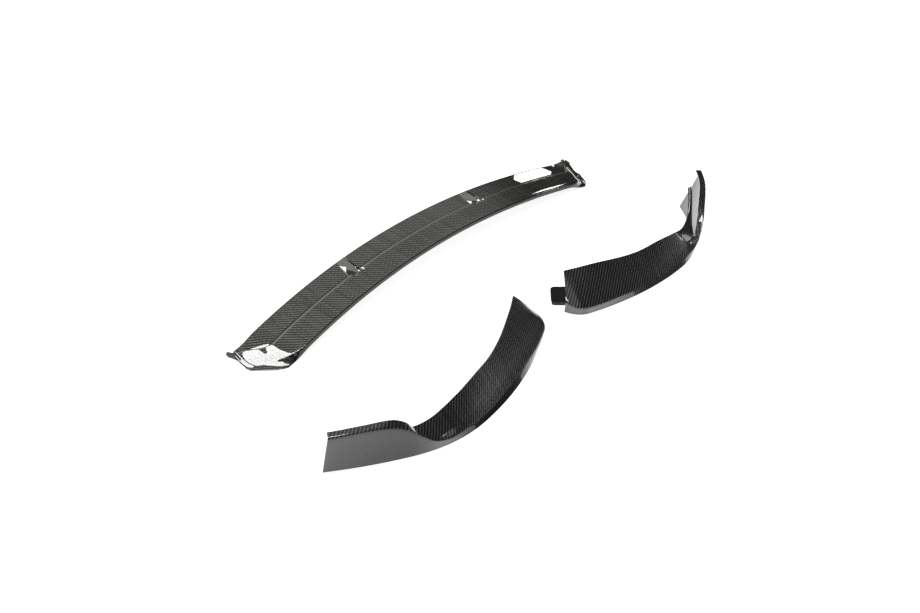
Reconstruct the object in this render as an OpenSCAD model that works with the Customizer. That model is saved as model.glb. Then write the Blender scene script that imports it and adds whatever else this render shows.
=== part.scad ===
// Front splitter lip in three thin mouldings, laid out flat on a floor:
// a long centre section and a mirrored pair of corner blades.
// The right corner has a joining tab bonded under its inner end.
// +Z is up and the floor is at zero.

/* [Moulding] */
// Wall of the centre section
centre_wall = 2.6; // [1.5:0.1:4]
// Wall of the corner blades
corner_wall = 2.6; // [1.5:0.1:4]

/* [Centre section] */
// Length between the upper end corners
centre_len = 1136; // [900:4:1300]
// Rise of the outer rim above the chord between its ends
rim_bow = 50; // [30:1:80]
// Height that the section arches off the floor at mid length
centre_arch = 45; // [25:1:60]
// Height of the ridge and of the outer rim above the low edge
strip_h = 17.5; // [14:0.5:24]
// Width of the recessed strip
recess_w = 57.5; // [45:0.5:75]
// Width of the raised strip
raised_w = 59.5; // [50:0.5:75]
// Depth of the recessed strip below the ridge
step_h = 7; // [4:0.5:10]
// Width of the sloping step between the two strips
step_run = 5; // [3:0.5:10]
// Depth of the turned down edge along the raised strip
centre_flange = 8; // [4:0.5:10]
// Depth of the turned down edge along the outer rim
rim_flange = 5; // [3:0.5:8]
// Depth of each end from its upper corner to its lower corner
end_depth = 106; // [90:1:120]
// Cut back of the right end's lower corner
right_end_cut = 14; // [0:1:25]
// Rise of the right end's upper corner
right_tip_rise = 7; // [0:1:12]
// Length over which the ridge curls and the strips droop to the end
curl_len = 60; // [40:5:100]
// Reach of the joining flange at each end
flange_reach = 12; // [8:1:20]
// Drop of the joining flange below the end
joggle = 3; // [2:0.5:5]

/* [Air grooves] */
// Distance of the left groove's wall from mid length
groove_left_x = 238; // [150:2:300]
// Distance of the right groove's wall from mid length
groove_right_x = 184; // [150:2:300]
// Width of a groove along the strip
groove_w = 32; // [20:1:45]
// Slant of a groove along the strip, from the rim to the ridge
groove_slant = 16; // [0:1:30]
// Depth of a groove at its inner end
groove_depth = 9; // [4:0.5:12]

/* [Corner blades] */
// Length of the front stretch along the bottom edge
front_len = 356; // [300:2:420]
// Radius of the front stretch
front_r = 727; // [500:1:900]
// Length of the bend round the corner
bend_len = 161; // [130:1:200]
// Radius of the bend round the corner
bend_r = 273; // [220:1:340]
// Length of the side stretch
side_len = 156; // [130:2:200]
// Radius of the side stretch
side_r = 843; // [450:1:1200]
// Depth of the lip at its inner end
lip_w = 62; // [50:1:80]
// Depth of the lip at the bend
lip_bend_w = 43; // [36:1:50]
// Height of the lip's inner edge along the front
lip_rise = 77; // [60:1:90]
// Height of the lip's inner edge where it dips before the fin
lip_dip = 42; // [34:1:55]
// Height of the turned down front edge
flange_h = 16; // [12:1:24]
// Plan radius of the front corner at the inner end
inner_end_r = 58; // [40:1:70]
// Cut back of that corner at the end edge
inner_end_cut = 30; // [15:1:36]
// Height of the side blade at its rear end
blade_h = 98; // [85:1:120]
// Outward lean of the side blade at its rear end
blade_lean = 41; // [20:1:50]
// Width of the rolled top along the side blade
roll_w = 16; // [12:0.5:22]
// Setback of the blade's top rear corner
blade_rake = 10; // [0:1:25]
// Length of the inner fin behind the notch
fin_len = 137; // [100:1:150]
// Height of the inner fin at its tip
fin_h = 77; // [60:1:85]
// Width of the inner fin at its tip
fin_w = 11; // [8:0.5:14]

/* [Joining tab] */
// Reach of the tab beyond the inner end
tab_reach = 30; // [15:1:40]
// Thickness of the tab
tab_wall = 3; // [2:0.5:4]

/* [Layout on the floor] */
// Centre section, position of its middle
centre_pos = [-85.4, 254.2]; // [-400:1:400]
// Centre section, turn about the vertical
centre_turn = 52.1; // [0:0.1:90]
// Right corner, position of its inner front end
right_pos = [213.5, -52.3]; // [-400:0.1:400]
// Left corner, position of its inner front end
left_pos = [167.9, -67.9]; // [-400:0.1:400]
// Left corner, turn about the vertical
left_turn = 108.9; // [60:0.1:130]
// Shift of the whole layout that centres it on the origin
layout_shift = [-61.8, -70.0]; // [-400:0.1:400]

/* [Hidden] */

// Interpolation helpers
function clamp(x, lo, hi) = min(max(x, lo), hi);
function mix(a, b, u) = a + (b - a) * u;
function ease(x, lo, hi) = let (u = clamp((x - lo) / (hi - lo), 0, 1)) u * u * (3 - 2 * u);
function span_at(t, x, i = 0) =
    (i >= len(t) - 2 || x < t[i + 1][0]) ? i : span_at(t, x, i + 1);
function slope_at(t, i) =
    let (a = max(i - 1, 0), b = min(i + 1, len(t) - 1))
    (t[b][1] - t[a][1]) / (t[b][0] - t[a][0]);

// Smooth curve through a table of [position, value] stations
function through(t, x) =
    let (
        i = span_at(t, x),
        h = t[i + 1][0] - t[i][0],
        u = clamp((x - t[i][0]) / h, 0, 1),
        m0 = slope_at(t, i) * h,
        m1 = slope_at(t, i + 1) * h
    )
    (2 * u ^ 3 - 3 * u ^ 2 + 1) * t[i][1] + (u ^ 3 - 2 * u ^ 2 + u) * m0
    + (3 * u ^ 2 - 2 * u ^ 3) * t[i + 1][1] + (u ^ 3 - u ^ 2) * m1;

function unit(v) = v / max(norm(v), 1e-6);
function on_floor(p) = [p[0], p[1], max(p[2], 0)];

// Thin moulding from a list of face corners: skin points, their inward
// offsets, the quads of the skin and the closed run of its edge points
module moulding(skin, back, quads, rim) {
    n = len(skin);
    r = len(rim);
    polyhedron(
        points = concat(skin, back),
        faces = concat(
            [for (q = quads) each [[q[0], q[1], q[2]], [q[0], q[2], q[3]]]],
            [for (q = quads) each [[n + q[2], n + q[1], n + q[0]], [n + q[3], n + q[2], n + q[0]]]],
            [for (k = [0 : r - 1])
                let (a = rim[k], b = rim[(k + 1) % r])
                each [[a, n + a, n + b], [a, n + b, b]]]
        ),
        convexity = 8
    );
}

// Centre section: rows run along its length, from the rim to the raised edge
half_len = centre_len / 2;
row_rim = 1;
row_foot = 5;
row_ridge = 6;
rows = 14;
function rim_y(u) = rim_bow * (1 - u ^ 2);
function low_z(u) = max(centre_arch * (1 - u ^ 2), 0);

// Place of each row: share of the recessed strip, then of the raised strip
row_in = [0.02, 0, 0.25, 0.5, 0.75, 1, 1, 1, 1, 1, 1, 1, 1, 1, 1];
row_out = [0, 0, 0, 0, 0, -step_run / raised_w, 0, 0.2, 0.38, 0.55, 0.7, 0.82, 0.92, 1, 1.02];

// End outline: each row runs out to a place on it, 0 at the upper corner
end_x = [[0, half_len], [0.35, half_len + 5], [0.62, half_len - 4], [0.85, half_len - 22], [1, half_len - 42]];
end_y = [[0, 0], [0.35, -end_depth * 0.35], [0.62, -end_depth * 0.63], [0.85, -end_depth * 0.88], [1, -end_depth]];
row_end = [0.01, 0, 0.015, 0.03, 0.045, 0.06, 0.09, 0.18, 0.32, 0.45, 0.54, 0.64, 0.8, 0.98, 1];
foot_z = centre_wall;
edge_z0 = 1.5;
function stop_x(j, x) = through(end_x, row_end[j]) - (x > 0 ? right_end_cut * ease(row_end[j], 0.1, 0.5) : 0);
function end_share(j, x) = ease(abs(x), stop_x(j, x) - curl_len, stop_x(j, x));
function row_y(j, x) =
    let (
        miss = through(end_y, row_end[j]) - rim_y(stop_x(j, x) / half_len) + row_in[j] * recess_w
            + row_out[j] * raised_w
    )
    rim_y(x / half_len) - row_in[j] * recess_w - row_out[j] * raised_w + miss * end_share(j, x);
function row_z(j, x) =
    let (
        low = low_z(x / half_len),
        plain = j == rows ? low : low + (j == 0 ? strip_h - rim_flange
            : j <= row_foot ? strip_h - step_h * row_in[j]
            : mix(strip_h, centre_flange, ease(row_out[j], -0.2, 1))),
        end = strip_h * (1 - ease(row_end[j], -0.1, 0.75)) - (j == 0 ? rim_flange : 0)
            + (x > 0 ? right_tip_rise * (1 - ease(row_end[j], 0, 0.35)) : 0)
    )
    mix(plain, j == rows ? edge_z0 : max(end, foot_z), end_share(j, x));

// Columns run straight across, fan out to the end outline and slant at a groove
fan_x = half_len - 2 * curl_len;
function column_x(c, j) =
    let (
        over = abs(c) - fan_x,
        reach = over <= 0 ? abs(c) : fan_x + (stop_x(j, c) - fan_x) * over / (half_len - fan_x),
        share = j <= row_foot ? clamp((j - row_rim) / (row_foot - row_rim), 0, 1) : 1 - row_out[j],
        near = max([for (g = [-groove_left_x, groove_right_x])
            1 - ease(abs(c - g - groove_w / 2), groove_w / 2, groove_w * 2.5)])
    )
    sign(c) * reach - groove_slant * share * near;

// Groove: floor drops behind a steep wall, then ramps up past the strip,
// and breaks the ridge
function groove_dz(j, x) =
    let (
        g = max([for (c = [-groove_left_x, groove_right_x]) let (d = x - c) d > 0 && d < groove_w ? d / groove_w : 0]),
        reach = clamp((j - row_rim) / (row_foot - row_rim), 0, 1),
        floor_dz = g < 0.75 ? mix(-groove_depth, step_h, g / 0.75) : mix(step_h, 0, (g - 0.75) / 0.25)
    )
    g <= 0 || j > row_ridge ? 0
    : j == row_ridge ? min(floor_dz - step_h, 0) * 0.8
    : reach * floor_dz;

groove_cols = [for (c = [-groove_left_x, groove_right_x]) each
    [for (d = [0, 0.4, groove_w * 0.25, groove_w * 0.5, groove_w * 0.75, groove_w * 0.88, groove_w]) c + d]];
col_step = 28;
end_cols = [for (s = [-1, 1]) for (d = [0, 0.06, 0.16, 0.28, 0.42, 0.58, 0.76, 1]) s * (half_len - curl_len * d)];
plain_cols = [for (x = [-half_len + curl_len + 10 : col_step : half_len - curl_len - 10])
    if (min([for (g = groove_cols) abs(x - g)]) > 9) x];
function sorted(v) = len(v) <= 1 ? v : let (
    p = v[floor(len(v) / 2)],
    lo = [for (a = v) if (a < p) a],
    eq = [for (a = v) if (a == p) a],
    hi = [for (a = v) if (a > p) a]
) concat(sorted(lo), eq, sorted(hi));
cols = sorted(concat(plain_cols, groove_cols, end_cols));
cols_n = len(cols);

// Joining flange: joggled down and out past each end, with a lobe by the
// upper corner and another near the lower one
ear_out = [[0, 0.4], [0.015, 0.8], [0.03, 1.1], [0.045, 1.2], [0.06, 1.1], [0.09, 0.9], [0.18, 0.5],
    [0.35, 0.45], [0.45, 0.7], [0.54, 0.8], [0.62, 0.45], [0.8, 0.2], [1, 0.15]];
ear_y = [[0, 0.9], [0.015, 1], [0.03, 0.8], [0.045, 0.4], [0.06, 0], [0.09, -0.3], [0.18, 0], [1, 0]];
function strip_point(i, j) =
    let (x = column_x(cols[i], j))
    [x, row_y(j, x), row_z(j, x) + groove_dz(j, cols[i])];
function flange_point(side, edge, j) =
    let (
        p = strip_point(side < 0 ? 0 : cols_n - 1, j),
        t = row_end[j],
        reach = flange_reach * through(ear_out, t),
        out = edge ? reach : min(joggle * 0.8, reach / 2),
        shift = edge ? flange_reach * through(ear_y, t) : 0
    )
    [p[0] + side * out, p[1] + shift, j == rows ? p[2] : max(p[2] - joggle, foot_z)];
last_col = cols_n + 3;
function centre_point(i, j) = i < 2 ? flange_point(-1, i == 0, j)
    : i > last_col - 2 ? flange_point(1, i == last_col, j)
    : strip_point(i - 2, j);
centre_skin = [for (i = [0 : last_col]) for (j = [0 : rows]) centre_point(i, j)];
function ci(i, j) = i * (rows + 1) + j;
function centre_normal(i, j) =
    let (
        du = centre_skin[ci(min(i + 1, last_col), j)] - centre_skin[ci(max(i - 1, 0), j)],
        dv = centre_skin[ci(i, min(j + 1, rows))] - centre_skin[ci(i, max(j - 1, 0))]
    )
    unit(cross(dv, du));
centre_back = [for (i = [0 : last_col]) for (j = [0 : rows])
    on_floor(centre_skin[ci(i, j)] - centre_wall * centre_normal(i, j))];

module centre_section() {
    color([0.16, 0.16, 0.15])
    place_centre()
    moulding(
        centre_skin, centre_back,
        [for (i = [0 : last_col - 1]) for (j = [0 : rows - 1])
            i < last_col / 2 ? [ci(i, j + 1), ci(i + 1, j + 1), ci(i + 1, j), ci(i, j)]
            : [ci(i, j), ci(i, j + 1), ci(i + 1, j + 1), ci(i + 1, j)]],
        concat(
            [for (j = [0 : rows]) ci(0, j)],
            [for (i = [1 : last_col]) ci(i, rows)],
            [for (j = [rows - 1 : -1 : 0]) ci(last_col, j)],
            [for (i = [last_col - 1 : -1 : 1]) ci(i, 0)]
        )
    );
}

// Corner blades: stations run along the bottom edge, columns cross the section
arcs = [[front_r, front_len], [bend_r, bend_len], [side_r, side_len]];
run_len = front_len + bend_len + side_len;
start_turn = 25.4;
deg = 180 / PI;
function path_at(s, k = 0, p = [0, 0], a = start_turn) =
    let (
        r = arcs[k][0],
        d = k == len(arcs) - 1 ? s : min(s, arcs[k][1]),
        b = a + d / r * deg,
        q = p + r * [sin(b) - sin(a), cos(a) - cos(b)]
    )
    (k == len(arcs) - 1 || s <= arcs[k][1]) ? [q, b] : path_at(s - arcs[k][1], k + 1, q, b);
function rail(s, n, z) =
    let (f = path_at(s), a = f[1])
    [f[0][0] - n * sin(a), f[0][1] + n * cos(a), z];

// Stations named by what happens at them
s_bend = front_len;
s_notch = front_len + bend_len * 0.76;
s_side = front_len + bend_len;

// Inner edge of the lip, which becomes the top edge of the fin
edge_n = [[0, lip_w - 1], [s_bend * 0.32, lip_w - 4], [s_bend * 0.67, lip_w - 12], [s_bend * 0.9, lip_bend_w + 1],
    [s_bend + 36, lip_bend_w - 3], [s_bend + 70, lip_bend_w - 5], [s_notch - 16, lip_bend_w - 9],
    [s_notch + 20, lip_bend_w - 16], [s_notch + fin_len * 0.5, fin_w + 5], [s_notch + fin_len, fin_w - 4]];
edge_z = [[0, lip_rise + 1], [s_bend * 0.32, lip_rise - 2], [s_bend * 0.67, lip_rise - 11],
    [s_bend * 0.9, lip_rise - 10], [s_bend + 36, lip_rise - 18], [s_bend + 70, lip_dip + 9],
    [s_notch - 16, lip_dip + 1], [s_notch + 20, lip_dip], [s_notch + fin_len * 0.45, lip_dip + 7],
    [s_notch + fin_len * 0.7, fin_h - 15], [s_notch + fin_len, fin_h]];

// Outer top edge: the front edge of the lip, then the top of the blade
top_z = [[0, flange_h + 16], [20, flange_h + 8], [50, flange_h + 3], [100, flange_h], [s_bend * 0.45, flange_h - 3],
    [s_bend * 0.7, flange_h - 7], [s_bend * 0.9, flange_h - 10], [s_bend + 36, flange_h - 6], [s_notch - 39, flange_h - 1],
    [s_notch, 28], [s_notch + 26, 49], [s_side + 14, blade_h - 26], [s_side + 48, blade_h - 10],
    [s_side + 92, blade_h - 2], [s_side + side_len, blade_h]];
top_n = [[0, -14], [20, -13], [50, -8], [100, -4], [s_bend * 0.45, 3], [s_bend * 0.7, 8], [s_bend + 36, 4],
    [s_notch - 39, -4], [s_notch, -11], [s_notch + 26, -16], [s_side + 14, 21 - blade_lean],
    [s_side + 48, 15 - blade_lean], [s_side + 92, 8 - blade_lean], [s_side + side_len, -blade_lean]];

// Inner edge of the rolled top
roll_z = [[s_notch - 40, 14], [s_notch, 16], [s_notch + 16, 32], [s_notch + 32, 52], [s_side + 8, blade_h - 26],
    [s_side + 24, blade_h - 13], [s_side + 45, blade_h - 5], [s_side + 100, blade_h], [s_side + side_len, blade_h + 2]];

// The inner end edge is cut across the car, and its front corner is round
function end_skew(s, n) = n * tan(start_turn) * (1 - ease(s, 0, 190));
function corner_round(s) = inner_end_cut * (1 - min(1, s / inner_end_r)) ^ 1.9;
function rake(s, z) = -blade_rake * z / blade_h * ease(s, s_side + 15, run_len);

function on_rail(s, n, z) = rail(s + end_skew(s, n) + rake(s, z), n, z);
function bottom_n(s) = corner_round(s);
function edge_at(s) = [through(edge_n, s), through(edge_z, s)];
function top_at(s) = [through(top_n, s) + bottom_n(s), through(top_z, s)];
function roll_at(s) =
    let (
        t = top_at(s),
        e = edge_at(s),
        chord = t + (e - t) * roll_w / norm(e - t),
        b = ease(s, s_notch - 90, s_notch),
        own = [t[0] + roll_w, through(roll_z, s)]
    )
    chord * (1 - b) + own * b;

// Columns: bottom edge, blade face, rounded top edge, rolled top
cols_out = 7;
function outer_at(j, s) =
    let (
        b = [bottom_n(s), 0],
        t = top_at(s),
        g = roll_at(s),
        r = min(5, (t[1] - b[1]) * 0.3),
        down = unit(b - t) * r,
        in = unit(g - t) * r
    )
    j == 0 ? b
    : j <= 3 ? b + (t + down - b) * j / 3
    : j == 4 ? t + (down + in) * 0.29
    : j == 5 ? t + in
    : mix(t + in, g, j - 6 == 0 ? 0.5 : 1);

// Columns: lip from the rolled top's edge to the inner edge, with a crown
cols_in = 6;
lip_crown = 4;
fin_crown = 7;
function inner_at(j, s, from) =
    let (
        e = edge_at(s),
        u = j / cols_in,
        crown = mix(lip_crown, fin_crown, ease(s, s_notch - 40, s_notch + fin_len * 0.6))
            * (1 - ease(s, s_notch - 120, s_notch - 50) * (1 - ease(s, s_notch - 40, s_notch + 30)))
    )
    mix(from, e, u) + [0, crown * sin(180 * u)];

step_s = 18;
notch_i = round(s_notch / step_s);
last_i = notch_i + ceil((run_len - s_notch) / step_s);
function station(i) = i <= notch_i ? s_notch * i / notch_i
    : s_notch + (run_len - s_notch) * (i - notch_i) / (last_i - notch_i);
function fin_station(i) = i <= notch_i ? station(i)
    : s_notch + fin_len * (i - notch_i) / (last_i - notch_i);
function fin_side(s) =
    let (e = edge_at(s), g = roll_at(s_notch), b = ease(s, s_notch, s_notch + fin_len))
    [mix(g[0], e[0] - fin_w, b), mix(g[1], e[1] - 3, ease(s, s_notch, s_notch + fin_len * 0.8))];

outer_cols = cols_out + 1;
function outer_point(i, j) = let (s = station(i), q = outer_at(j, s)) on_rail(s, q[0], q[1]);
function inner_point(i, j) =
    let (
        s = fin_station(i),
        from = i <= notch_i ? roll_at(s) : fin_side(s),
        q = inner_at(j, s, from)
    )
    on_rail(s, q[0], q[1]);
outer_grid = [for (i = [0 : last_i]) [for (j = [0 : cols_out]) outer_point(i, j)]];
inner_grid = [for (i = [0 : last_i]) [for (j = [0 : cols_in]) inner_point(i, j)]];
function grid_normal(g, i, j) =
    let (
        m = len(g) - 1,
        w = len(g[0]) - 1,
        du = g[min(i + 1, m)][j] - g[max(i - 1, 0)][j],
        dv = g[i][min(j + 1, w)] - g[i][max(j - 1, 0)]
    )
    unit(cross(du, dv));

// Joined skin: the fin's own first column starts after the notch
function oi(i, j) = i * (cols_out + 1) + j;
inner_base = (last_i + 1) * (cols_out + 1);
function ii(i, j) = j == 0
    ? (i <= notch_i ? oi(i, cols_out) : inner_base + (last_i + 1) * cols_in + i - notch_i - 1)
    : inner_base + i * cols_in + j - 1;
seam_normal = [for (i = [0 : notch_i]) unit(grid_normal(outer_grid, i, cols_out) + grid_normal(inner_grid, i, 0))];
corner_skin = concat(
    [for (i = [0 : last_i]) for (j = [0 : cols_out]) outer_grid[i][j]],
    [for (i = [0 : last_i]) for (j = [1 : cols_in]) inner_grid[i][j]],
    [for (i = [notch_i + 1 : last_i]) inner_grid[i][0]]
);
corner_normals = concat(
    [for (i = [0 : last_i]) for (j = [0 : cols_out])
        j == cols_out && i <= notch_i ? seam_normal[i] : grid_normal(outer_grid, i, j)],
    [for (i = [0 : last_i]) for (j = [1 : cols_in]) grid_normal(inner_grid, i, j)],
    [for (i = [notch_i + 1 : last_i]) grid_normal(inner_grid, i, 0)]
);
corner_back = [for (k = [0 : len(corner_skin) - 1]) on_floor(corner_skin[k] - corner_wall * corner_normals[k])];

module corner_shell() {
    moulding(
        corner_skin, corner_back,
        concat(
            [for (i = [0 : last_i - 1]) for (j = [0 : cols_out - 1])
                [oi(i, j), oi(i + 1, j), oi(i + 1, j + 1), oi(i, j + 1)]],
            [for (i = [0 : last_i - 1]) for (j = [0 : cols_in - 1])
                [ii(i, j), ii(i + 1, j), ii(i + 1, j + 1), ii(i, j + 1)]]
        ),
        concat(
            [for (i = [0 : last_i]) oi(i, 0)],
            [for (j = [1 : cols_out]) oi(last_i, j)],
            [for (i = [last_i - 1 : -1 : notch_i]) oi(i, cols_out)],
            [for (i = [notch_i + 1 : last_i]) ii(i, 0)],
            [for (j = [1 : cols_in]) ii(last_i, j)],
            [for (i = [last_i - 1 : -1 : 0]) ii(i, cols_in)],
            [for (j = [cols_in - 1 : -1 : 0]) ii(0, j)],
            [for (j = [cols_out - 1 : -1 : 1]) oi(0, j)]
        )
    );
}

module place_centre() {
    translate([centre_pos[0] + layout_shift[0], centre_pos[1] + layout_shift[1], 0])
    rotate([0, 0, centre_turn])
    children();
}

module place_right() {
    translate([right_pos[0] + layout_shift[0], right_pos[1] + layout_shift[1], 0])
    children();
}

module right_corner() {
    color([0.12, 0.12, 0.12])
    place_right()
    corner_shell();
}

module left_corner() {
    color([0.12, 0.12, 0.12])
    translate([left_pos[0] + layout_shift[0], left_pos[1] + layout_shift[1], 0])
    rotate([0, 0, left_turn])
    mirror([1, 0, 0])
    corner_shell();
}

// Joining tab: wraps the underside from the front edge to the middle of the
// lip and reaches out past its inner end, where its corners are rounded
tab_in = 2;
tab_tips = [0, 30, 60, 90];
tab_corner = 8;
function tab_row(i) = [for (k = [oi(i, 2), oi(i, 3), oi(i, 4), oi(i, 5), oi(i, 6), oi(i, 7), ii(i, 1), ii(i, 2)])
    corner_back[k]];
function tab_tip(a) =
    let (
        r = tab_row(0),
        m = len(r) - 1,
        pinch = 0.9 * (1 - sin(a)),
        out = [tab_reach - tab_corner * (1 - cos(a)), 0, 0]
    )
    [for (k = [0 : m]) (k == 0 ? mix(r[0], r[1], pinch) : k == m ? mix(r[m], r[m - 1], pinch) : r[k]) - out];
tab_grid = concat([for (a = tab_tips) tab_tip(a)], [for (i = [0 : tab_in]) tab_row(i)]);
tab_m = len(tab_grid) - 1;
tab_w = len(tab_grid[0]) - 1;
function ti(i, j) = i * (tab_w + 1) + j;

module joining_tab() {
    color([0.09, 0.09, 0.09])
    place_right()
    moulding(
        [for (i = [0 : tab_m]) for (j = [0 : tab_w]) tab_grid[i][j]],
        [for (i = [0 : tab_m]) for (j = [0 : tab_w]) tab_grid[i][j] - tab_wall * grid_normal(tab_grid, i, j)],
        [for (i = [0 : tab_m - 1]) for (j = [0 : tab_w - 1])
            [ti(i, j), ti(i + 1, j), ti(i + 1, j + 1), ti(i, j + 1)]],
        concat(
            [for (i = [0 : tab_m]) ti(i, 0)],
            [for (j = [1 : tab_w]) ti(tab_m, j)],
            [for (i = [tab_m - 1 : -1 : 0]) ti(i, tab_w)],
            [for (j = [tab_w - 1 : -1 : 1]) ti(0, j)]
        )
    );
}

centre_section();
left_corner();
right_corner();
joining_tab();
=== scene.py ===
"""Looks of a front splitter lip: three glossy carbon weave mouldings laid out on a pale floor."""

import math

import bpy
import numpy as np
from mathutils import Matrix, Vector


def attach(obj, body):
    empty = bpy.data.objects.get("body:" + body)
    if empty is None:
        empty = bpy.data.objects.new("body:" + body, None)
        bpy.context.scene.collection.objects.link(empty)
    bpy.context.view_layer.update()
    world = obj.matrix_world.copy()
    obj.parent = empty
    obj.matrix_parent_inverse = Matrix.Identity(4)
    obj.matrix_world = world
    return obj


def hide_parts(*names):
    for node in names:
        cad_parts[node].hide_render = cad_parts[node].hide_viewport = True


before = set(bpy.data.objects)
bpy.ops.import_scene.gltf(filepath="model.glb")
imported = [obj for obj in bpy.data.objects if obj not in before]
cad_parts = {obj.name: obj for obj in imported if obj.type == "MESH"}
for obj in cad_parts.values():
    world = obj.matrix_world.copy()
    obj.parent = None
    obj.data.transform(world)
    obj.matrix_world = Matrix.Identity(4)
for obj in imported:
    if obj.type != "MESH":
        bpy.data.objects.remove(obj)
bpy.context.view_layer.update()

MM = 0.001

# Sizes of the mouldings in millimetres, as in the solids
WALL = 2.6
LAYOUT_SHIFT = (-61.8, -70.0)

# Centre section
CENTRE_LEN = 1136
HALF_LEN = CENTRE_LEN / 2
RIM_BOW = 50
CENTRE_ARCH = 45
STRIP_H = 17.5
RECESS_W = 57.5
RAISED_W = 59.5
STEP_H = 7
STEP_RUN = 5
CENTRE_FLANGE = 8
RIM_FLANGE = 5
END_DEPTH = 106
RIGHT_END_CUT = 14
RIGHT_TIP_RISE = 7
CURL_LEN = 60
FLANGE_REACH = 12
JOGGLE = 3
GROOVES = (-238, 184)
GROOVE_W = 32
GROOVE_SLANT = 16
GROOVE_DEPTH = 9
FOOT_Z = WALL
EDGE_Z0 = 1.5
CENTRE_POS = (-85.4, 254.2)
CENTRE_TURN = 52.1

# Corner blades
FRONT_LEN, FRONT_R = 356, 727
BEND_LEN, BEND_R = 161, 273
SIDE_LEN, SIDE_R = 156, 843
LIP_W = 62
LIP_BEND_W = 43
LIP_RISE = 77
LIP_DIP = 42
FLANGE_H = 16
INNER_END_R = 58
INNER_END_CUT = 30
BLADE_H = 98
BLADE_LEAN = 41
ROLL_W = 16
BLADE_RAKE = 10
FIN_LEN = 137
FIN_H = 77
FIN_W = 11
START_TURN = 25.4
RIGHT_POS = (213.5, -52.3)
LEFT_POS = (167.9, -67.9)
LEFT_TURN = 108.9

# Joining tab
TAB_REACH = 30
TAB_WALL = 3
TAB_CORNER = 8


def clamp(x, lo=0.0, hi=1.0):
    return min(max(x, lo), hi)


def mix(a, b, u):
    return a + (b - a) * u


def ease(x, lo, hi):
    u = clamp((x - lo) / (hi - lo))
    return u * u * (3 - 2 * u)


def through(table, x):
    """Smooth curve through a table of (position, value) stations."""
    last = len(table) - 2
    i = 0
    while i < last and x >= table[i + 1][0]:
        i += 1

    def slope(k):
        a, b = max(k - 1, 0), min(k + 1, len(table) - 1)
        return (table[b][1] - table[a][1]) / (table[b][0] - table[a][0])

    h = table[i + 1][0] - table[i][0]
    u = clamp((x - table[i][0]) / h)
    m0, m1 = slope(i) * h, slope(i + 1) * h
    return ((2 * u**3 - 3 * u**2 + 1) * table[i][1] + (u**3 - 2 * u**2 + u) * m0
            + (3 * u**2 - 2 * u**3) * table[i + 1][1] + (u**3 - u**2) * m1)


# Corner blade: stations along the bottom edge, columns across the section
ARCS = ((FRONT_R, FRONT_LEN), (BEND_R, BEND_LEN), (SIDE_R, SIDE_LEN))
RUN_LEN = FRONT_LEN + BEND_LEN + SIDE_LEN
S_BEND = FRONT_LEN
S_NOTCH = FRONT_LEN + BEND_LEN * 0.76
S_SIDE = FRONT_LEN + BEND_LEN


def path_at(s, bend_share=1.0):
    """Point and heading of the bottom edge; bend_share below 1 gives the straighter line of the cloth."""
    p, a = np.zeros(2), math.radians(START_TURN)
    left = s
    for k, (r, length) in enumerate(ARCS):
        d = left if k == len(ARCS) - 1 else min(left, length)
        r = r / bend_share
        b = a + d / r
        p = p + r * np.array([math.sin(b) - math.sin(a), math.cos(a) - math.cos(b)])
        a = b
        left -= d
        if left <= 0:
            break
    return p, a


# Stations of the section along the edge, as (distance, value): N is inwards, Z is up
EDGE_N = [(0, LIP_W - 1), (S_BEND * 0.32, LIP_W - 4), (S_BEND * 0.67, LIP_W - 12),
          (S_BEND * 0.9, LIP_BEND_W + 1), (S_BEND + 36, LIP_BEND_W - 3), (S_BEND + 70, LIP_BEND_W - 5),
          (S_NOTCH - 16, LIP_BEND_W - 9), (S_NOTCH + 20, LIP_BEND_W - 16),
          (S_NOTCH + FIN_LEN * 0.5, FIN_W + 5), (S_NOTCH + FIN_LEN, FIN_W - 4)]
EDGE_Z = [(0, LIP_RISE + 1), (S_BEND * 0.32, LIP_RISE - 2), (S_BEND * 0.67, LIP_RISE - 11),
          (S_BEND * 0.9, LIP_RISE - 10), (S_BEND + 36, LIP_RISE - 18), (S_BEND + 70, LIP_DIP + 9),
          (S_NOTCH - 16, LIP_DIP + 1), (S_NOTCH + 20, LIP_DIP), (S_NOTCH + FIN_LEN * 0.45, LIP_DIP + 7),
          (S_NOTCH + FIN_LEN * 0.7, FIN_H - 15), (S_NOTCH + FIN_LEN, FIN_H)]
TOP_Z = [(0, FLANGE_H + 16), (20, FLANGE_H + 8), (50, FLANGE_H + 3), (100, FLANGE_H),
         (S_BEND * 0.45, FLANGE_H - 3), (S_BEND * 0.7, FLANGE_H - 7), (S_BEND * 0.9, FLANGE_H - 10),
         (S_BEND + 36, FLANGE_H - 6), (S_NOTCH - 39, FLANGE_H - 1), (S_NOTCH, 28), (S_NOTCH + 26, 49),
         (S_SIDE + 14, BLADE_H - 26), (S_SIDE + 48, BLADE_H - 10), (S_SIDE + 92, BLADE_H - 2),
         (S_SIDE + SIDE_LEN, BLADE_H)]
TOP_N = [(0, -14), (20, -13), (50, -8), (100, -4), (S_BEND * 0.45, 3), (S_BEND * 0.7, 8),
         (S_BEND + 36, 4), (S_NOTCH - 39, -4), (S_NOTCH, -11), (S_NOTCH + 26, -16),
         (S_SIDE + 14, 21 - BLADE_LEAN), (S_SIDE + 48, 15 - BLADE_LEAN), (S_SIDE + 92, 8 - BLADE_LEAN),
         (S_SIDE + SIDE_LEN, -BLADE_LEAN)]
ROLL_Z = [(S_NOTCH - 40, 14), (S_NOTCH, 16), (S_NOTCH + 16, 32), (S_NOTCH + 32, 52),
          (S_SIDE + 8, BLADE_H - 26), (S_SIDE + 24, BLADE_H - 13), (S_SIDE + 45, BLADE_H - 5),
          (S_SIDE + 100, BLADE_H), (S_SIDE + SIDE_LEN, BLADE_H + 2)]
# Rise of the lip and the fin above a straight line across them
LIP_CROWN = 1.5
FIN_CROWN = 7


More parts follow.
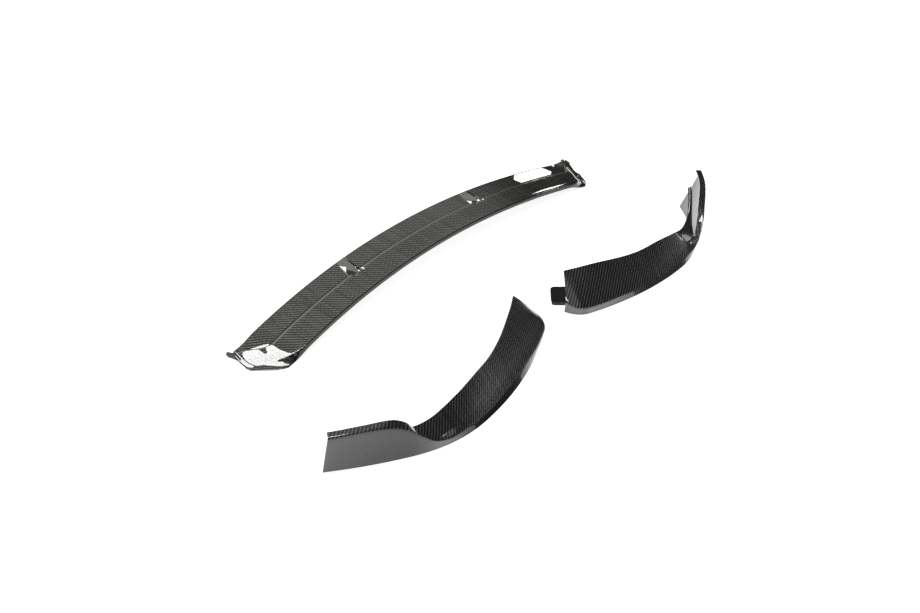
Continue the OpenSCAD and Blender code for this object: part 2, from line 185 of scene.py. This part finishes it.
def true_s(s, n, z):
    """Distance along the edge with the end cut and the rake put in."""
    s += n * math.tan(math.radians(START_TURN)) * (1 - ease(s, 0, 190))
    return s - BLADE_RAKE * z / BLADE_H * ease(s, S_SIDE + 15, RUN_LEN)


def on_rail(s, n, z):
    """Point at distance s along the edge, n inwards and z up."""
    p, a = path_at(true_s(s, n, z))
    return np.array([p[0] - n * math.sin(a), p[1] + n * math.cos(a), z])


def bottom_n(s):
    return INNER_END_CUT * (1 - min(1, s / INNER_END_R)) ** 1.9


def section(s):
    """Bottom, front top, roll and inner edge of the section at s, each as (n, z)."""
    bottom = np.array([bottom_n(s), 0.0])
    top = np.array([through(TOP_N, s) + bottom[0], through(TOP_Z, s)])
    edge = np.array([through(EDGE_N, s), through(EDGE_Z, s)])
    chord = top + (edge - top) * ROLL_W / np.linalg.norm(edge - top)
    own = np.array([top[0] + ROLL_W, through(ROLL_Z, s)])
    roll = mix(chord, own, ease(s, S_NOTCH - 90, S_NOTCH))
    return bottom, top, roll, edge


FACE_COLS = 8
ROUND_COLS = 6
ROLL_COLS = 4
OUT_COLS = FACE_COLS + ROUND_COLS + ROLL_COLS
IN_COLS = 16
FRONT_ROUND = 5


def front_corner(s):
    """Bottom, top and roll edge of the section, and the rounding's reach down and inwards from the top."""
    b, t, g, _ = section(s)
    r = min(FRONT_ROUND, t[1] * 0.3)
    return b, t, g, (b - t) / np.linalg.norm(b - t) * r, (g - t) / np.linalg.norm(g - t) * r


def outer_line(s):
    """Section from the bottom edge over the rounded front to the roll's inner edge."""
    b, t, g, down, inward = front_corner(s)
    pts = [mix(b, t + down, k / FACE_COLS) for k in range(FACE_COLS)]
    for k in range(ROUND_COLS + 1):
        u = k / ROUND_COLS
        pts.append((1 - u) ** 2 * (t + down) + 2 * u * (1 - u) * t + u**2 * (t + inward))
    pts += [mix(t + inward, g, (k + 1) / ROLL_COLS) for k in range(ROLL_COLS)]
    return pts


def inner_line(s, start):
    """Section from the roll's inner edge, or the fin's own foot, to the inner edge."""
    e = section(s)[3]
    crown = mix(LIP_CROWN, FIN_CROWN, ease(s, S_NOTCH - 40, S_NOTCH + FIN_LEN * 0.6))
    crown *= 1 - ease(s, S_NOTCH - 120, S_NOTCH - 50) * (1 - ease(s, S_NOTCH - 40, S_NOTCH + 30))
    return [mix(start, e, k / IN_COLS) + np.array([0, crown * math.sin(math.pi * k / IN_COLS)])
            for k in range(IN_COLS + 1)]


def fin_side(s):
    """Foot line of the fin's outer side, which leaves the roll at the notch."""
    e, g = section(s)[3], section(S_NOTCH)[2]
    return np.array([mix(g[0], e[0] - FIN_W, ease(s, S_NOTCH, S_NOTCH + FIN_LEN)),
                     mix(g[1], e[1] - 3, ease(s, S_NOTCH, S_NOTCH + FIN_LEN * 0.8))])


def widths(line):
    """Running length across a section."""
    steps = [0.0] + [float(np.linalg.norm(line[k + 1] - line[k])) for k in range(len(line) - 1)]
    return np.cumsum(steps)


CLOTH_BEND = 0.5
CLOTH_TURN = 10


def cloth(s, across):
    """Place on the flat cloth: it bends half as much as the blade does."""
    p, a = path_at(s, CLOTH_BEND)
    return (p[0] - across * math.sin(a), p[1] + across * math.cos(a))


STATIONS = 150


def corner_mesh():
    """Skin points, cloth coordinates with a mark for the turned-down face, and quads of one corner blade."""
    notch = round(STATIONS * S_NOTCH / RUN_LEN)
    turn = math.radians(START_TURN + CLOTH_TURN)
    cos_turn, sin_turn = math.cos(turn), math.sin(turn)
    points, places, outer, inner = [], [], {}, {}

    def add(table, key, s, q, across, turned_down=0):
        table[key] = len(points)
        points.append(on_rail(s, q[0], q[1]))
        u, v = cloth(true_s(s, q[0], q[1]), across)
        places.append((u * cos_turn + v * sin_turn, v * cos_turn - u * sin_turn, turned_down, 0))

    for i in range(STATIONS + 1):
        if i <= notch:
            s = S_NOTCH * i / notch
        else:
            s = mix(S_NOTCH, RUN_LEN, (i - notch) / (STATIONS - notch))
        line = outer_line(s)
        if i <= notch:
            fin_s, start = s, line[-1]
        else:
            fin_s = mix(S_NOTCH, S_NOTCH + FIN_LEN, (i - notch) / (STATIONS - notch))
            start = fin_side(fin_s)
        lip = inner_line(fin_s, start)
        lip_w = widths(lip)
        lip_w += LIP_W - lip_w[-1]
        if i <= notch:
            seam = lip_w[0]
        w = widths(line)
        w += seam - w[-1]
        for j, q in enumerate(line):
            add(outer, (i, j), s, q, w[j], j < FACE_COLS + ROUND_COLS // 2)
        if i <= notch:
            inner[i, 0] = outer[i, OUT_COLS]
        for j in range(0 if i > notch else 1, IN_COLS + 1):
            add(inner, (i, j), fin_s, lip[j], lip_w[j])
    quads = [(t[i, j], t[i + 1, j], t[i + 1, j + 1], t[i, j + 1])
             for t, n in ((outer, OUT_COLS), (inner, IN_COLS)) for i in range(STATIONS) for j in range(n)]
    return np.array(points), np.array(places), quads


def shell(name, points, places, quads, wall, place, flip=False):
    """Closed thin moulding of one skin, with its back one wall inwards and rounded rims."""
    if flip:
        quads = [q[::-1] for q in quads]
    mesh = bpy.data.meshes.new(name)
    mesh.from_pydata([place(p) for p in points], [], quads)
    mesh.polygons.foreach_set("use_smooth", [True] * len(mesh.polygons))
    uv = mesh.uv_layers.new(name="cloth")
    loops = np.zeros(len(mesh.loops), np.int32)
    mesh.loops.foreach_get("vertex_index", loops)
    uv.data.foreach_set("uv", (places[loops, :2] * MM).ravel())
    for k, mark in ((2, "turned_down"), (3, "edge_and_painted_light")):
        layer = mesh.attributes.new(mark, "FLOAT", "POINT")
        layer.data.foreach_set("value", places[:, k].astype(np.float32))
    mesh.update()
    piece = bpy.data.objects.new(name, mesh)
    bpy.context.scene.collection.objects.link(piece)
    thick = piece.modifiers.new("wall", "SOLIDIFY")
    thick.thickness = wall * MM
    thick.offset = -1
    thick.use_even_offset = True
    soft = piece.modifiers.new("soft_rims", "BEVEL")
    soft.width = 0.7 * MM
    soft.segments = 2
    soft.limit_method = "ANGLE"
    soft.angle_limit = math.radians(60)
    soft.harden_normals = True
    return piece


def placed(pos, turn=0.0, mirrored=False):
    """Function that takes a point of a moulding to its place on the floor, in metres."""
    c, s = math.cos(math.radians(turn)), math.sin(math.radians(turn))
    side = -1 if mirrored else 1

    def place(p):
        x, y = p[0] * side, p[1]
        out_x = x * c - y * s + pos[0] + LAYOUT_SHIFT[0]
        out_y = x * s + y * c + pos[1] + LAYOUT_SHIFT[1]
        return Vector((out_x, out_y, p[2])) * MM

    return place


# Centre section: rows along its length, columns across it
END_X = [(0, HALF_LEN), (0.35, HALF_LEN + 5), (0.62, HALF_LEN - 4), (0.85, HALF_LEN - 22),
         (1, HALF_LEN - 42)]
END_Y = [(0, 0), (0.35, -END_DEPTH * 0.35), (0.62, -END_DEPTH * 0.63), (0.85, -END_DEPTH * 0.88),
         (1, -END_DEPTH)]
OUT_END = [(0, 0.09), (0.2, 0.18), (0.38, 0.32), (0.55, 0.45), (0.7, 0.54), (0.82, 0.64), (0.92, 0.8),
           (1, 0.98), (1.02, 1)]
EAR_OUT = [(0, 0.4), (0.015, 0.8), (0.03, 1.1), (0.045, 1.2), (0.06, 1.1), (0.09, 0.9), (0.18, 0.5),
           (0.35, 0.45), (0.45, 0.7), (0.54, 0.8), (0.62, 0.45), (0.8, 0.2), (1, 0.15)]
EAR_Y = [(0, 0.9), (0.015, 1), (0.03, 0.8), (0.045, 0.4), (0.06, 0), (0.09, -0.3), (0.18, 0), (1, 0)]
FAN_X = HALF_LEN - 2 * CURL_LEN


class Row:
    """One line along the strip: share of the recess, share of the raised strip, place on the end outline."""

    def __init__(self, kind, inside, out=0.0, corner=0.0):
        self.kind, self.inside, self.out, self.corner = kind, inside, out, corner
        if kind == "raised":
            self.end = through(OUT_END, out)
        else:
            self.end = {"rim_edge": 0.01, "recess": 0.06 * inside, "low_edge": 1.0}[kind]
        self.drop_share = inside if kind == "recess" else max(0.8 * (1 - out / 0.2), 0)


FOOT_OUT = -STEP_RUN / RAISED_W
ROWS = (
    [Row("rim_edge", 0.02), Row("recess", 0, corner=2.2)]
    + [Row("recess", k / 12) for k in range(1, 11)]
    + [Row("recess", 1, FOOT_OUT, corner=2), Row("raised", 1, 0, corner=4.5)]
    + [Row("raised", 1, k / 20) for k in range(1, 20)]
    + [Row("raised", 1, 1, corner=2.5), Row("low_edge", 1, 1.02)]
)


def stop_x(row, x):
    return through(END_X, row.end) - (RIGHT_END_CUT * ease(row.end, 0.1, 0.5) if x > 0 else 0)


def end_share(row, x):
    return ease(abs(x), stop_x(row, x) - CURL_LEN, stop_x(row, x))


def rim_y(u):
    return RIM_BOW * (1 - u * u)


def low_z(u):
    return max(CENTRE_ARCH * (1 - u * u), 0)


def row_y(row, x):
    across = row.inside * RECESS_W + row.out * RAISED_W
    miss = through(END_Y, row.end) - rim_y(stop_x(row, x) / HALF_LEN) + across
    return rim_y(x / HALF_LEN) - across + miss * end_share(row, x)


def row_z(row, x):
    low = low_z(x / HALF_LEN)
    if row.kind == "low_edge":
        return mix(low, EDGE_Z0, end_share(row, x))
    end = STRIP_H * (1 - ease(row.end, -0.1, 0.75))
    if row.kind == "rim_edge":
        plain, end = low + STRIP_H - RIM_FLANGE, end - RIM_FLANGE
    elif row.kind == "recess":
        plain = low + STRIP_H - STEP_H * row.inside
    else:
        plain = low + mix(STRIP_H, CENTRE_FLANGE, ease(row.out, -0.2, 1))
    if x > 0:
        end += RIGHT_TIP_RISE * (1 - ease(row.end, 0, 0.35))
    return mix(plain, max(end, FOOT_Z), end_share(row, x))


def column_x(c, row):
    """Where a column crosses the row: straight, fanned out at the ends and slanted at a groove."""
    over = abs(c) - FAN_X
    reach = abs(c) if over <= 0 else FAN_X + (stop_x(row, c) - FAN_X) * over / (HALF_LEN - FAN_X)
    share = row.inside if row.kind in ("recess", "rim_edge") else 1 - row.out
    near = max(1 - ease(abs(c - g - GROOVE_W / 2), GROOVE_W / 2, GROOVE_W * 2.5) for g in GROOVES)
    return math.copysign(reach, c) - GROOVE_SLANT * share * near


def groove_drop(row, c):
    for wall_x in GROOVES:
        g = (c - wall_x) / GROOVE_W
        if 0 < g < 1:
            floor = mix(-GROOVE_DEPTH, STEP_H, g / 0.75) if g < 0.75 else mix(STEP_H, 0, (g - 0.75) / 0.25)
            return row.drop_share * (floor if row.kind == "recess" else min(floor - STEP_H, 0))
    return 0


def strip_point(c, row):
    x = column_x(c, row)
    return np.array([x, row_y(row, x), row_z(row, x) + groove_drop(row, c)])


def flange_point(side, edge, row):
    """Point of the joining flange: edge 0 at the foot of the joggle, 1 at the outer edge."""
    p = strip_point(side * HALF_LEN, row)
    reach = FLANGE_REACH * through(EAR_OUT, row.end)
    near = min(JOGGLE * 0.8, reach / 2)
    z = p[2] if row.kind == "low_edge" else max(p[2] - JOGGLE, FOOT_Z)
    x = p[0] + side * mix(near, reach, edge)
    y = p[1] + edge * FLANGE_REACH * through(EAR_Y, row.end)
    return np.array([x, y, z])


def centre_columns():
    """Places along the length: even, finer at the ends, with pairs at the grooves' walls and creases."""
    fine = CURL_LEN * 1.12
    even = [k * 5.0 for k in range(-100, 101)]
    ends = [s * (HALF_LEN - fine * (1 - k / 24)) for s in (-1, 1) for k in range(25)]
    extra = [g + d for g in GROOVES for d in (-3, -1.5, 0, 0.5, *range(2, GROOVE_W + 1, 2))]
    kept = [x for x in even if min(abs(x - e) for e in extra) > 1.6 and abs(x) < HALF_LEN - fine - 1]
    return sorted(kept + extra + ends)


# Shares along the small curve that replaces a corner
CURVE = (0, 0.25, 0.5, 0.75, 1)


def rounded(line, corners):
    """The same line with each marked corner replaced by a small curve."""
    out = []
    for k, p in enumerate(line):
        r = corners[k]
        if r == 0:
            out.append(p)
            continue
        before, after = line[k - 1] - p, line[k + 1] - p
        a = p + before * min(r / np.linalg.norm(before), 0.45)
        b = p + after * min(r / np.linalg.norm(after), 0.45)
        out += [(1 - u) ** 2 * a + 2 * u * (1 - u) * p + u * u * b for u in CURVE]
    return out


# How far each mark hides the cloth: above 0 pale, below 0 black. Rims and the low edge are turned black; the
# other marks are painted light and painted shade
EDGE_BLACK = -0.9
RIM_DARK = -0.5
# Painted shade at the foot of the step, where the recess is darkest
STEP_FOOT_PAINTED_SHADE = -1.3
# Painted highlight along the ridge, in place of its bright reflection
RIDGE_PAINTED_HIGHLIGHT = 0.85
# Groove: painted highlight on its near wall, painted shade in its pocket, painted light on its lit ramp
GROOVE_WALL_PAINTED_HIGHLIGHT = 1.2
GROOVE_POCKET_PAINTED_SHADE = -1
GROOVE_RAMP_PAINTED_LIGHT = 0.7


def resin_mark(row, c):
    """Mark of a point, which lies on a crease, in a groove or on plain cloth: black on the rims and edges,
    painted highlight, painted light and painted shade at the ridge, the step's foot and the grooves.
    """
    if row.kind == "low_edge" or row.kind == "rim_edge" or row.out == 1:
        return EDGE_BLACK
    if row.kind == "recess" or row.out == 0:
        for wall_x in GROOVES:
            g = (c - wall_x) / GROOVE_W
            deep = 0.55 * ease(row.inside, 0.25, 1)
            if -0.06 <= g <= 0.02 and row.kind == "recess":
                return GROOVE_WALL_PAINTED_HIGHLIGHT * ease(row.inside, 0.3, 0.6)
            if 0.02 < g < deep:
                return GROOVE_POCKET_PAINTED_SHADE
            if max(deep, 0.02) <= g < 1:
                return GROOVE_RAMP_PAINTED_LIGHT
    if row.inside == 0:
        return RIM_DARK
    if row.kind == "recess" and row.out < 0:
        return STEP_FOOT_PAINTED_SHADE
    return RIDGE_PAINTED_HIGHLIGHT if row.kind == "raised" and row.out < 0.06 else 0


def centre_mesh():
    stations = [("flange", -1, e) for e in (1, 0.5, 0)] + [("strip", c, 0) for c in centre_columns()]
    stations += [("flange", 1, e) for e in (0, 0.5, 1)]
    corners = [row.corner for row in ROWS]
    points, places = [], []
    for kind, c, edge in stations:
        line = [strip_point(c, row) if kind == "strip" else flange_point(c, edge, row) for row in ROWS]
        crest = line[-2][2]
        line = rounded(line, corners)
        marks = [resin_mark(row, c) if kind == "strip" else 0
                 for row in ROWS for _ in range(len(CURVE) if row.corner else 1)]
        points += line
        places += [(p[0], p[1] - max(crest - p[2], 0), k > len(line) - 4, marks[k])
                   for k, p in enumerate(line)]
    n = len(line)
    quads = [(i * n + j, i * n + j + 1, (i + 1) * n + j + 1, (i + 1) * n + j)
             for i in range(len(stations) - 1) for j in range(n - 1)]
    return np.array(points), np.array(places), quads


# Joining tab: lies on the lip's underside and reaches out past its inner end
def tab_line(s):
    """Section of the lip from its front face to the middle, as (n, z)."""
    b, t, g, down, inward = front_corner(s)
    lip = inner_line(s, g)
    line = [mix(b, t + down, 2 / 3), mix(b, t + down, 0.83)]
    line += [(1 - u) ** 2 * (t + down) + 2 * u * (1 - u) * t + u * u * (t + inward) for u in CURVE]
    line += [mix(t + inward, g, 0.5), g] + [lip[k] for k in range(1, IN_COLS // 3 + 1)]
    return line


def tab_mesh():
    inner = [[on_rail(s, *q) for q in tab_line(s)] for s in (0, 9, 18, 27, 35)]
    grid = np.array(inner)
    along, across = np.gradient(grid, axis=0), np.gradient(grid, axis=1)
    normal = np.cross(along, across)
    normal /= np.linalg.norm(normal, axis=2, keepdims=True)
    grid = grid - WALL * normal
    tips = []
    for angle in (0, 15, 30, 45, 60, 75, 90):
        a = math.radians(angle)
        pinch = 0.9 * (1 - math.sin(a))
        row = grid[0].copy()
        row[0], row[-1] = mix(row[0], grid[0][2], pinch), mix(row[-1], grid[0][-3], pinch)
        row[1], row[-2] = mix(row[1], grid[0][2], pinch), mix(row[-2], grid[0][-3], pinch)
        tips.append(row - np.array([TAB_REACH - TAB_CORNER * (1 - math.cos(a)), 0, 0]))
    full = np.array(tips + list(grid))
    rows, n = full.shape[:2]
    places = [(i * 6.0, j * 4.0, 0, 0) for i in range(rows) for j in range(n)]
    quads = [(i * n + j, (i + 1) * n + j, (i + 1) * n + j + 1, i * n + j + 1)
             for i in range(rows - 1) for j in range(n - 1)]
    return full.reshape(-1, 3), np.array(places), quads


# Materials
CENTRE_TOW = 2.4 * MM
CORNER_TOW = 2.1 * MM
METAL_SHARE = 0.9
# Paleness of the painted highlight and painted light on the marked places
PAINTED_LIGHT_PALE = 0.8
CORNER_DARK, CORNER_LIGHT = (0.004, 0.004, 0.004), (0.26, 0.26, 0.25)
# The centre's paler olive tows are partly its own tone and partly painted light for the brighter reflection
# it shows
CENTRE_DARK, CENTRE_LIGHT = (0.004, 0.004, 0.003), (0.36, 0.354, 0.3)


class Nodes:
    """Short way to add and link shader nodes."""

    def __init__(self, name):
        self.material = bpy.data.materials.new(name)
        self.material.use_nodes = True
        self.tree = self.material.node_tree
        self.tree.nodes.clear()

    def add(self, kind, **inputs):
        node = self.tree.nodes.new(kind)
        for key, value in inputs.items():
            self.put(node, key.replace("_", " "), value)
        return node

    def put(self, node, key, value):
        socket = node.inputs[int(key) if key.isdigit() else key]
        if isinstance(value, bpy.types.NodeSocket):
            self.tree.links.new(value, socket)
        else:
            socket.default_value = value

    def math(self, operation, *values):
        node = self.tree.nodes.new("ShaderNodeMath")
        node.operation = operation
        for k, value in enumerate(values):
            self.put(node, str(k), value)
        return node.outputs[0]

    def blend(self, share, a, b):
        node = self.tree.nodes.new("ShaderNodeMix")
        node.data_type = "RGBA"
        self.put(node, "0", share)
        self.put(node, "6", a)
        self.put(node, "7", b)
        return node.outputs[2]


def carbon(name, tow, dark, light, hand, face_shade_gain, face_light_base):
    """Two by two twill of carbon tows under a clear lacquer.

    hand 1 or -1 leans the wales. On the turned-down outer face the pattern fades by the face gain
    and the face base is added to it: painted shade and painted light for the floor that face mirrors."""
    n = Nodes(name)
    uv = n.add("ShaderNodeUVMap")
    uv.uv_map = "cloth"
    place = n.add("ShaderNodeSeparateXYZ", Vector=uv.outputs[0])
    u = n.math("DIVIDE", place.outputs[0], tow)
    v = n.math("DIVIDE", place.outputs[1], tow)
    column, row = n.math("FLOOR", u), n.math("FLOOR", v)
    phase = n.math("FLOORED_MODULO", n.math("ADD", column, n.math("MULTIPLY", row, -hand)), 4.0)
    warp_up = n.math("LESS_THAN", phase, 1.5)
    weft_up = n.math("SUBTRACT", 1.0, warp_up)

    def hump(f):
        centred = n.math("SUBTRACT", f, 0.5)
        return n.math("SUBTRACT", 1.0, n.math("MULTIPLY", 4.0, n.math("MULTIPLY", centred, centred)))

    # Each float is two tows long: place along it, 0 to 1, where it is up
    along_warp = n.math("ADD", column, n.math("ADD", n.math("MULTIPLY", v, -hand), (1 + hand) / 2))
    along_warp = n.math("DIVIDE", n.math("FLOORED_MODULO", along_warp, 4.0), 2.0)
    along_weft = n.math("ADD", u, n.math("MULTIPLY", row, -hand))
    along_weft = n.math("SUBTRACT", n.math("DIVIDE", n.math("FLOORED_MODULO", along_weft, 4.0), 2.0), 1.0)
    warp_crown = n.math("MULTIPLY", warp_up, n.math("MULTIPLY", hump(n.math("FRACT", u)), hump(along_warp)))
    weft_crown = n.math("MULTIPLY", weft_up, n.math("MULTIPLY", hump(n.math("FRACT", v)), hump(along_weft)))
    height = n.math("ADD", warp_crown, weft_crown)

    own_column, own_row = n.math("MULTIPLY", column, warp_up), n.math("MULTIPLY", row, weft_up)
    tow_id = n.add("ShaderNodeCombineXYZ", X=own_column, Y=own_row)
    shade = n.add("ShaderNodeTexWhiteNoise", Vector=tow_id.outputs[0])
    shade.noise_dimensions = "2D"
    fibres = n.add("ShaderNodeTexNoise", Vector=uv.outputs[0], Scale=900.0, Detail=3.0)
    patches = n.add("ShaderNodeTexNoise", Vector=uv.outputs[0], Scale=14.0, Detail=2.0)

    wave = n.math("ADD", warp_crown, n.math("MULTIPLY", weft_crown, 0.08))
    wave = n.math("MULTIPLY", wave, n.math("ADD", 0.45, n.math("MULTIPLY", shade.outputs[0], 1.1)))
    wave = n.math("MULTIPLY", wave, n.math("ADD", 0.65, n.math("MULTIPLY", fibres.outputs[0], 0.7)))
    wave = n.math("MULTIPLY", wave, n.math("ADD", 0.6, n.math("MULTIPLY", patches.outputs[0], 0.8)))
    face = n.add("ShaderNodeAttribute")
    face.attribute_name = "turned_down"
    # Painted shade and painted light on the turned-down face
    face_painted_shade = n.math("ADD", 1.0, n.math("MULTIPLY", face.outputs["Fac"], face_shade_gain - 1.0))
    wave = n.math("MULTIPLY", wave, face_painted_shade)
    wave = n.math("ADD", wave, n.math("MULTIPLY", face.outputs["Fac"], face_light_base))
    # Marked places hide the weave: black on rims and edges, painted shade in the grooves' pockets and at the
    # step's foot, pale painted highlight and painted light on the ridge and the grooves' walls and ramps
    edge_and_painted_light = n.add("ShaderNodeAttribute")
    edge_and_painted_light.attribute_name = "edge_and_painted_light"
    pale = n.math("MAXIMUM", edge_and_painted_light.outputs["Fac"], 0.0)
    cover = n.math("MINIMUM", n.math("ABSOLUTE", edge_and_painted_light.outputs["Fac"]), 1.0)
    open_weave = n.math("MULTIPLY", wave, n.math("SUBTRACT", 1.0, cover))
    wave = n.math("ADD", open_weave, n.math("MULTIPLY", pale, PAINTED_LIGHT_PALE))
    colour = n.blend(wave, (*dark, 1), (*light, 1))

    bump = n.add("ShaderNodeBump", Height=height, Strength=0.35, Distance=0.25 * MM)
    skin = n.add("ShaderNodeBsdfPrincipled", Base_Color=colour, Roughness=0.32, Normal=bump.outputs[0])
    n.put(skin, "Metallic", METAL_SHARE)
    n.put(skin, "Specular IOR Level", 0.25)
    n.put(skin, "Coat Weight", 1.0)
    n.put(skin, "Coat Roughness", 0.0)
    n.put(skin, "Coat IOR", 1.5)
    n.add("ShaderNodeOutputMaterial", Surface=skin.outputs[0])
    return n.material


def dull_black(name):
    """Resin-rich black laminate with a faint grain."""
    n = Nodes(name)
    where = n.add("ShaderNodeTexCoord")
    grain = n.add("ShaderNodeTexNoise", Vector=where.outputs["Object"], Scale=420.0, Detail=4.0)
    colour = n.blend(grain.outputs[0], (0.004, 0.004, 0.004, 1), (0.012, 0.012, 0.012, 1))
    bump = n.add("ShaderNodeBump", Height=grain.outputs[0], Strength=0.2, Distance=0.2 * MM)
    skin = n.add("ShaderNodeBsdfPrincipled", Base_Color=colour, Roughness=0.45, Normal=bump.outputs[0])
    n.put(skin, "Specular IOR Level", 0.2)
    n.add("ShaderNodeOutputMaterial", Surface=skin.outputs[0])
    return n.material


def finish_piece(piece, material, node):
    piece.data.materials.append(material)
    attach(piece, "root")
    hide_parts(node)


def build_lip():
    """The three mouldings and the tab, each over its own solid."""
    points, places, quads = corner_mesh()
    right = shell("right_corner_skin", points, places, quads, WALL, placed(RIGHT_POS))
    # The corners are lit and shaded copies of one weave: painted light on the right's turned-down face,
    # painted shade on the left's
    weave = carbon("right_weave", CORNER_TOW, CORNER_DARK, CORNER_LIGHT, 1, 0.6, 0.1)
    finish_piece(right, weave, "right_corner")
    place = placed(LEFT_POS, LEFT_TURN, True)
    left = shell("left_corner_skin", points, places, quads, WALL, place, flip=True)
    weave = carbon("left_weave", CORNER_TOW, CORNER_DARK, CORNER_LIGHT, -1, 0.1, 0.0)
    finish_piece(left, weave, "left_corner")
    points, places, quads = centre_mesh()
    centre = shell("centre_section_skin", points, places, quads, WALL, placed(CENTRE_POS, CENTRE_TURN))
    # Painted shade on the centre's turned-down low edge
    weave = carbon("centre_weave", CENTRE_TOW, CENTRE_DARK, CENTRE_LIGHT, -1, 0.1, 0.0)
    finish_piece(centre, weave, "centre_section")
    points, places, quads = tab_mesh()
    tab = shell("joining_tab_plate", points, places, quads, TAB_WALL, placed(RIGHT_POS))
    finish_piece(tab, dull_black("tab_black"), "joining_tab")


# Camera, in millimetres from the middle of the layout
IMAGE_WIDTH = 920
FOCAL_PIXELS = 1152.7
ELEVATION = 30.61
DISTANCE = 2381.4
SENSOR = 36.0


def add_camera():
    data = bpy.data.cameras.new("camera")
    data.sensor_width = SENSOR
    data.lens = FOCAL_PIXELS / IMAGE_WIDTH * SENSOR
    data.clip_start, data.clip_end = 0.05, 100
    data.shift_x, data.shift_y = -0.5 / IMAGE_WIDTH, 0.5 / IMAGE_WIDTH
    camera = bpy.data.objects.new("camera", data)
    e = math.radians(ELEVATION)
    target = Vector((*LAYOUT_SHIFT, 0))
    camera.location = (target + Vector((0, -DISTANCE * math.cos(e), DISTANCE * math.sin(e)))) * MM
    camera.rotation_euler = (math.radians(90 - ELEVATION), 0, 0)
    bpy.context.scene.collection.objects.link(camera)
    bpy.context.scene.camera = camera


# Floor, in metres, with its colour and the glow that makes it white where it is seen
FLOOR_SIDE = 12.0
FLOOR_Z = -0.0005
FLOOR_PALE = (0.85, 0.85, 0.85, 1)
FLOOR_GLOW = 0.82


def add_floor():
    """Pale floor: white to the camera and in reflections, with its soft shadows kept."""
    mesh = bpy.data.meshes.new("floor")
    corners = [(x * FLOOR_SIDE, y * FLOOR_SIDE, 0) for x, y in ((-1, -1), (1, -1), (1, 1), (-1, 1))]
    mesh.from_pydata(corners, [], [(0, 1, 2, 3)])
    floor = bpy.data.objects.new("floor", mesh)
    bpy.context.scene.collection.objects.link(floor)
    floor.location.z = FLOOR_Z
    n = Nodes("floor_white")
    seen = n.add("ShaderNodeLightPath")
    matt = n.add("ShaderNodeBsdfDiffuse", Color=FLOOR_PALE)
    direct = n.math("MAXIMUM", seen.outputs["Is Camera Ray"], seen.outputs["Is Glossy Ray"])
    direct = n.math("MAXIMUM", direct, seen.outputs["Is Transmission Ray"])
    glow = n.add("ShaderNodeEmission", Strength=n.math("MULTIPLY", direct, FLOOR_GLOW))
    both = n.add("ShaderNodeAddShader")
    n.put(both, "0", matt.outputs[0])
    n.put(both, "1", glow.outputs[0])
    n.add("ShaderNodeOutputMaterial", Surface=both.outputs[0])
    mesh.materials.append(n.material)


# Softboxes of the studio, by direction: slopes to their middle and half their width, and brightness
CEILING_BOX = {"side": (-0.16, 0.25), "depth": (-0.01, 0.55), "brightness": 20}
REAR_BOX = {"side": (0.2, 0.017), "height": (0.391, 0.04), "brightness": 12}


def add_world():
    """Studio, pale on the left and dim on the right. Only the lacquer mirrors its two softboxes."""
    world = bpy.data.worlds.new("studio")
    bpy.context.scene.world = world
    world.use_nodes = True
    tree = world.node_tree
    tree.nodes.clear()

    def node(kind, **inputs):
        made = tree.nodes.new(kind)
        for key, value in inputs.items():
            socket = made.inputs[int(key[1:])]
            if isinstance(value, bpy.types.NodeSocket):
                tree.links.new(value, socket)
            else:
                socket.default_value = value
        return made

    def smooth(value, lo, hi, out_lo, out_hi):
        made = node("ShaderNodeMapRange", _0=value, _1=lo, _2=hi, _3=out_lo, _4=out_hi)
        made.interpolation_type = "SMOOTHSTEP"
        return made.outputs[0]

    def calc(operation, a, b):
        made = node("ShaderNodeMath", _0=a, _1=b)
        made.operation = operation
        return made.outputs[0]

    def softbox(across, along, ahead):
        """1 inside a rectangle in front of the part, 0 outside it."""
        share = calc("GREATER_THAN", ahead, 0.0)
        for way, (middle, half) in (across, along):
            off = calc("SUBTRACT", calc("DIVIDE", way, ahead), middle)
            share = calc("MULTIPLY", share, calc("LESS_THAN", calc("ABSOLUTE", off, 0.0), half))
        return share

    ray = node("ShaderNodeTexCoord").outputs["Generated"]
    x, y, z = node("ShaderNodeSeparateXYZ", _0=ray).outputs
    lit = smooth(calc("SUBTRACT", z, x), 0.22, 0.44, 0.0, 0.5)
    dim = smooth(y, 0.6, 0.8, 0.16, 0.03)
    mirrored = tree.nodes.new("ShaderNodeLightPath").outputs["Is Singular Ray"]
    ceiling = softbox((x, CEILING_BOX["side"]), (y, CEILING_BOX["depth"]), z)
    rear = softbox((x, REAR_BOX["side"]), (z, REAR_BOX["height"]), y)
    boxes = calc("ADD", calc("MULTIPLY", ceiling, CEILING_BOX["brightness"]),
                 calc("MULTIPLY", rear, REAR_BOX["brightness"]))
    total = calc("ADD", calc("ADD", lit, dim), calc("MULTIPLY", boxes, mirrored))
    glow = node("ShaderNodeBackground", _0=(1, 1, 1, 1), _1=total)
    out = tree.nodes.new("ShaderNodeOutputWorld")
    tree.links.new(glow.outputs[0], out.inputs[0])


# Soft lamp overhead, in metres and watts
LAMP_PLACE = (0.2, 0.1, 3.2)
LAMP_SIDE = 3.6
LAMP_POWER = 45


def add_lamp():
    """Soft square lamp, aimed at the part. It lights the matt surfaces and isn't mirrored."""
    data = bpy.data.lights.new("top_soft", "AREA")
    data.shape = "RECTANGLE"
    data.size = data.size_y = LAMP_SIDE
    data.energy = LAMP_POWER
    lamp = bpy.data.objects.new("top_soft", data)
    lamp.location = LAMP_PLACE
    lamp.rotation_euler = (-Vector(LAMP_PLACE)).to_track_quat("-Z", "Y").to_euler()
    lamp.visible_glossy = False
    bpy.context.scene.collection.objects.link(lamp)


build_lip()
add_camera()
add_floor()
add_world()
add_lamp()
bpy.context.scene.view_settings.view_transform = "Standard"
